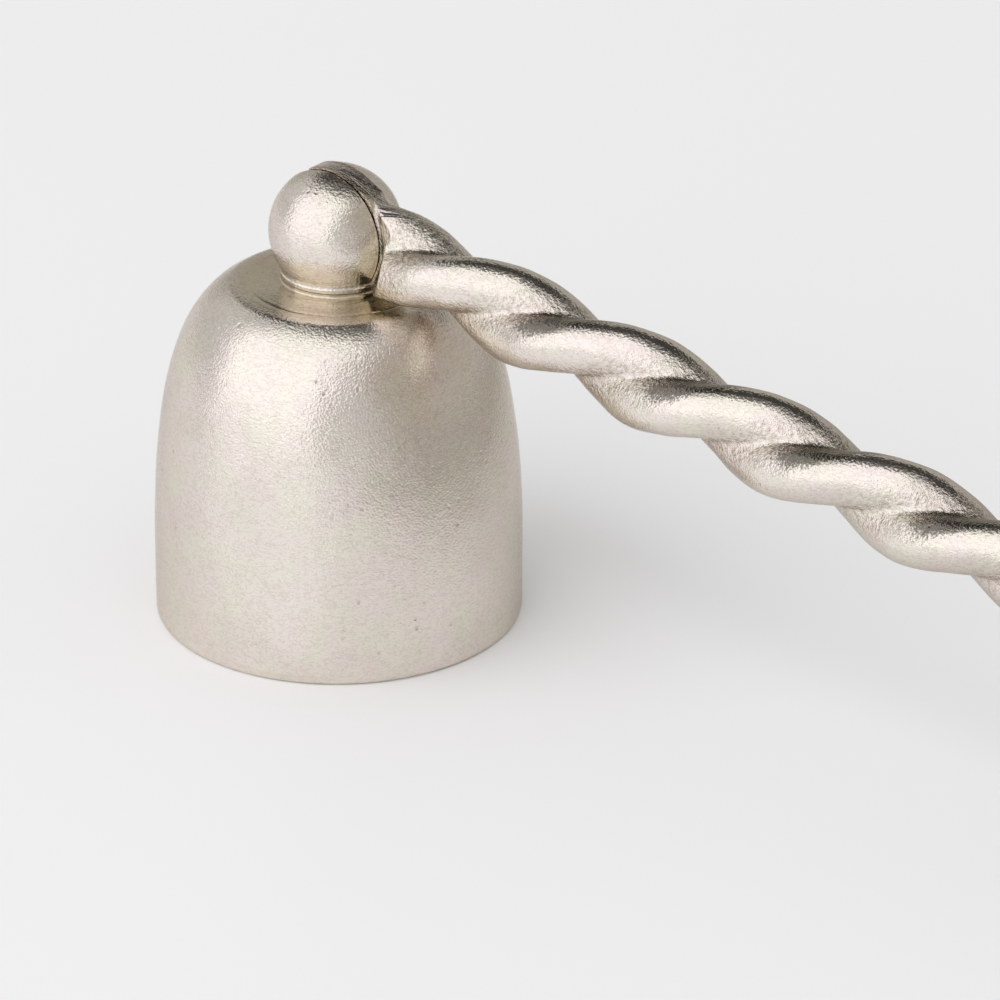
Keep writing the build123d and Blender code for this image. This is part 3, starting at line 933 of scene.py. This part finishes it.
class SNUFFER_OT_hinge_pin(bpy.types.Operator):
    """Turn the hinge pin, domed where it is dressed flush with the ball"""

    bl_idname = "snuffer.hinge_pin"
    bl_label = "Hinge pin"

    def execute(self, context):
        settings = context.scene.snuffer
        size, ball = settings.fasteners, settings.knuckle.ball_radius
        radius, chamfer = PIN_HIGH[0], size.pin_chamfer
        tip = PIN_LOW[1]
        edge_angle = atan2(sqrt(ball ** 2 - (radius - chamfer) ** 2), radius - chamfer)
        points = [(0, tip), (radius - chamfer, tip), (radius, tip + chamfer)]
        points += [(radius, ball * sin(edge_angle) - chamfer)]
        points += arc((0, 0), ball, edge_angle, QUARTER, 8)
        bm = bmesh.new()
        turn_wire(bm, add_wire(bm, points, beside_hinge), (0, 0, HINGE_HEIGHT), (0, 1, 0), size.steps)
        close_shell(bm)
        settle(bm, "hinge_pin_steel", "bell_body", "hinge_pin", steel_material("filed_pin", settings.finish))
        return {"FINISHED"}


class SNUFFER_OT_crown_screw(bpy.types.Operator):
    """Turn the slotted screw inside the bell, and the split washer over its head"""

    bl_idname = "snuffer.crown_screw"
    bl_label = "Crown screw and washer"

    def execute(self, context):
        settings = context.scene.snuffer
        size = settings.fasteners
        material = steel_material("plain_screw", settings.finish)
        head, low, high = SCREW_HIGH[0], SCREW_LOW[2], WASHER_LOW[2]
        bm = bmesh.new()
        points = [(0, low), (head - size.head_round, low)]
        points += arc((head - size.head_round, low + size.head_round), size.head_round, -QUARTER, 0, 8)[1:]
        points += [(head, high - size.washer_round), (head - size.washer_round, high), (size.shank_radius, high),
                   (size.shank_radius, SCREW_HIGH[2]), (0, SCREW_HIGH[2])]
        turn_wire(bm, add_wire(bm, points, upright), (0, 0, 0), UP, size.steps)
        close_shell(bm)
        screw = settle(bm, "crown_screw_steel", "bell_body", "crown_screw", material)
        drive = bmesh.new()
        place = Matrix.Translation((0, 0, low)) @ Matrix.Diagonal((4 * head, size.drive_width, 2 * size.drive_depth, 1))
        bmesh.ops.create_cube(drive, size=1.0, matrix=place)
        cut_away(screw, drive)

        bm = bmesh.new()
        edge, trim = WASHER_HIGH[1], size.washer_round
        low, high = WASHER_LOW[2], WASHER_HIGH[2]
        points = [(size.washer_hole + trim, low), (edge - trim, low), (edge, low + trim), (edge, high - trim),
                  (edge - trim, high), (size.washer_hole + trim, high), (size.washer_hole, high - trim),
                  (size.washer_hole, low + trim)]
        wire = add_wire(bm, points, upright, closed=True)
        gap = size.washer_split / edge
        bmesh.ops.rotate(bm, verts=bm.verts, cent=(0, 0, 0), matrix=Matrix.Rotation(gap / 2, 3, "Z"))
        turn_wire(bm, wire, (0, 0, 0), UP, size.steps, tau - gap)
        bmesh.ops.holes_fill(bm, edges=[border for border in bm.edges if border.is_boundary], sides=0)
        close_shell(bm)
        settle(bm, "lock_washer_steel", "bell_body", "lock_washer", material)
        return {"FINISHED"}


# Stage


def add_light(name, place, aim, width, height, power, tint):
    """A soft rectangular light at a place, facing a point."""
    lamp = bpy.data.lights.new(name, "AREA")
    lamp.shape = "RECTANGLE"
    lamp.size, lamp.size_y, lamp.energy, lamp.color = width, height, power, tint
    made = bpy.data.objects.new(name, lamp)
    made.matrix_world = Matrix.Translation(place) @ (aim - place).to_track_quat("-Z", "Y").to_matrix().to_4x4()
    bpy.context.scene.collection.objects.link(made)
    return made


def board_material(name, shade, soft):
    """An even tone that fades out towards the edges of a board one unit across."""
    material = bpy.data.materials.new(name)
    material.use_nodes = True
    tree = material.node_tree
    tree.nodes.remove(tree.nodes["Principled BSDF"])
    place = add_node(tree, "ShaderNodeSeparateXYZ")
    feed(tree, place, 0, add_node(tree, "ShaderNodeTexCoord").outputs["Object"])
    fades = [remap(tree, math_node(tree, "ABSOLUTE", place.outputs[axis], 0.0), 0.5 - soft, 0.5, 1.0, 0.0)
             for axis in (0, 1)]
    glow = add_node(tree, "ShaderNodeEmission")
    glow.inputs["Color"].default_value = (*shade, 1)
    mixed = add_node(tree, "ShaderNodeMixShader")
    feed(tree, mixed, 0, math_node(tree, "MULTIPLY", *fades))
    feed(tree, mixed, 1, add_node(tree, "ShaderNodeBsdfTransparent").outputs[0])
    feed(tree, mixed, 2, glow.outputs[0])
    tree.links.new(mixed.outputs[0], tree.nodes["Material Output"].inputs[0])
    return material


def add_board(name, stand, width, height, shade, soft):
    """A board with faded edges, stood by a matrix, that only shows in reflections."""
    bm = bmesh.new()
    bmesh.ops.create_grid(bm, x_segments=1, y_segments=1, size=0.5)
    mesh = bpy.data.meshes.new(name)
    bm.to_mesh(mesh)
    bm.free()
    board = bpy.data.objects.new(name, mesh)
    board.matrix_world = stand @ Matrix.Diagonal((width, height, 1, 1))
    mesh.materials.append(board_material(name, shade, soft))
    bpy.context.scene.collection.objects.link(board)
    board.visible_camera = False
    board.visible_diffuse = False
    board.visible_shadow = False
    return board


def add_camera(stage):
    """The camera at the photograph's viewing angle, framed so that the mouth falls on its pixel."""
    dip, roll = stage.dip, stage.roll
    right, forward, up = Vector((1, 0, 0)), Vector((0, cos(dip), -sin(dip))), Vector((0, sin(dip), cos(dip)))
    right, up = right * cos(roll) + up * sin(roll), up * cos(roll) - right * sin(roll)
    focal = stage.lens / SENSOR_WIDTH * FRAME_PIXELS
    middle = FRAME_PIXELS / 2
    ray = right * (MOUTH_PIXEL[0] - middle) / focal - up * (MOUTH_PIXEL[1] - middle) / focal + forward
    place = -ray.normalized() * stage.distance
    turn = Matrix((right, up, -forward)).transposed().to_4x4()
    lens = bpy.data.cameras.new("camera")
    lens.sensor_width = SENSOR_WIDTH
    lens.lens = stage.lens
    lens.clip_start, lens.clip_end = 0.01, 50
    camera = bpy.data.objects.new("camera", lens)
    camera.matrix_world = Matrix.Rotation(stage.heading, 4, "Z") @ Matrix.Translation(place) @ turn
    bpy.context.scene.collection.objects.link(camera)
    bpy.context.scene.camera = camera


def add_floor(stage):
    """A wide pale floor."""
    bm = bmesh.new()
    bmesh.ops.create_grid(bm, x_segments=1, y_segments=1, size=stage.floor_size / 2)
    mesh = bpy.data.meshes.new("floor")
    bm.to_mesh(mesh)
    bm.free()
    floor = bpy.data.objects.new("floor", mesh)
    bpy.context.scene.collection.objects.link(floor)
    material = bpy.data.materials.new("pale_floor")
    material.use_nodes = True
    shader = material.node_tree.nodes["Principled BSDF"]
    shader.inputs["Base Color"].default_value = (*stage.floor, 1)
    shader.inputs["Roughness"].default_value = 0.9
    shader.inputs["Specular IOR Level"].default_value = 0.1
    mesh.materials.append(material)


def add_world():
    """Even pale surroundings."""
    world = bpy.data.worlds.new("studio")
    bpy.context.scene.world = world
    world.use_nodes = True
    backdrop = world.node_tree.nodes["Background"]
    backdrop.inputs["Color"].default_value = (1, 1, 1, 1)
    backdrop.inputs["Strength"].default_value = 0.65


class SNUFFER_OT_stage(bpy.types.Operator):
    """Set up the pale floor, the soft lights and the camera"""

    bl_idname = "snuffer.stage"
    bl_label = "Stage"

    def execute(self, context):
        stage = context.scene.snuffer.stage
        context.scene.view_settings.view_transform = "Standard"
        add_floor(stage)
        add_world()
        add_camera(stage)
        view = Matrix.Rotation(stage.heading, 4, "Z")
        aim = Vector((0.03, 0, 0.02))
        add_light("softbox", view @ Vector((-1.6, -1.3, 1.3)), aim, 4.2, 2.9, 45, (1, 0.99, 1.02))
        boards = (
            ("softbox_back", (-1.68, -1.365, 1.36), 4.4, 3.05, (0.1, 0.1, 0.1), 0.01),
            ("top_card", (-0.33, -0.57, 1.48), 2.0, 0.98, (1.17, 1.17, 1.18), 0.1),
            ("back_flag", (0.3, 0.70, 1.32), 2.4, 1.36, (0.06, 0.059, 0.056), 0.15),
            ("top_flag", (0.08, 0.12, 1.52), 1.3, 0.9, (0.16, 0.157, 0.15), 0.4),
            ("horizon_flag", (0.3, 1.6, 0.68), 3.2, 1.9, (0.47, 0.457, 0.43), 0.15),
            ("side_flag", (1.5, -0.3, 0.9), 4.4, 2.2, (0.48, 0.447, 0.4), 0.15),
        )
        for name, place, width, height, shade, soft in boards:
            place = view @ Vector(place)
            facing = Matrix.Translation(place) @ (aim - place).to_track_quat("Z", "Y").to_matrix().to_4x4()
            add_board(name, facing, width, height, shade, soft)
        # Cards lying on the floor, seen only in reflections: near_card and far_card glow brighter than the floor.
        # right_card is a dark sheet that stands in for the floor's shade beside the bell, a painted shadow.
        cards = (
            ("near_card", (-0.185, -0.18, 0.001), 0.38, 0.34, (0.98, 0.985, 1.0), 0.05),
            ("far_card", (-0.62, -0.58, 0.0008), 1.1, 1.1, (1.22, 1.225, 1.24), 0.1),
            ("right_card", (0.66, 0.1, 0.001), 1.3, 1.6, (0.42, 0.4, 0.365), 0.08),
        )
        for name, place, width, height, shade, soft in cards:
            add_board(name, view @ Matrix.Translation(place), width, height, shade, soft)
        return {"FINISHED"}


class SNUFFER_PT_panel(bpy.types.Panel):
    """Buttons for the pieces of the candle snuffer"""

    bl_idname = "SNUFFER_PT_panel"
    bl_label = "Candle snuffer"
    bl_space_type = "VIEW_3D"
    bl_region_type = "UI"
    bl_category = "Snuffer"

    def draw(self, context):
        for operator in OPERATORS:
            self.layout.operator(operator.bl_idname)


OPERATORS = (SNUFFER_OT_bell, SNUFFER_OT_knuckle, SNUFFER_OT_handle, SNUFFER_OT_hinge_pin,
             SNUFFER_OT_crown_screw, SNUFFER_OT_stage)
CLASSES = (BellSizes, KnuckleSizes, HandleSizes, FastenerSizes, Finish, StageSettings, SnufferSettings,
           *OPERATORS, SNUFFER_PT_panel)


def register():
    """Registers the settings, the operators and the panel."""
    for item in CLASSES:
        bpy.utils.register_class(item)
    bpy.types.Scene.snuffer = PointerProperty(type=SnufferSettings)


def unregister():
    """Removes what register added."""
    del bpy.types.Scene.snuffer
    for item in reversed(CLASSES):
        bpy.utils.unregister_class(item)


def main():
    """Builds the snuffer and its stage."""
    register()
    bpy.ops.snuffer.bell()
    bpy.ops.snuffer.knuckle()
    bpy.ops.snuffer.handle()
    bpy.ops.snuffer.hinge_pin()
    bpy.ops.snuffer.crown_screw()
    bpy.ops.snuffer.stage()


if __name__ == "__main__":
    main()
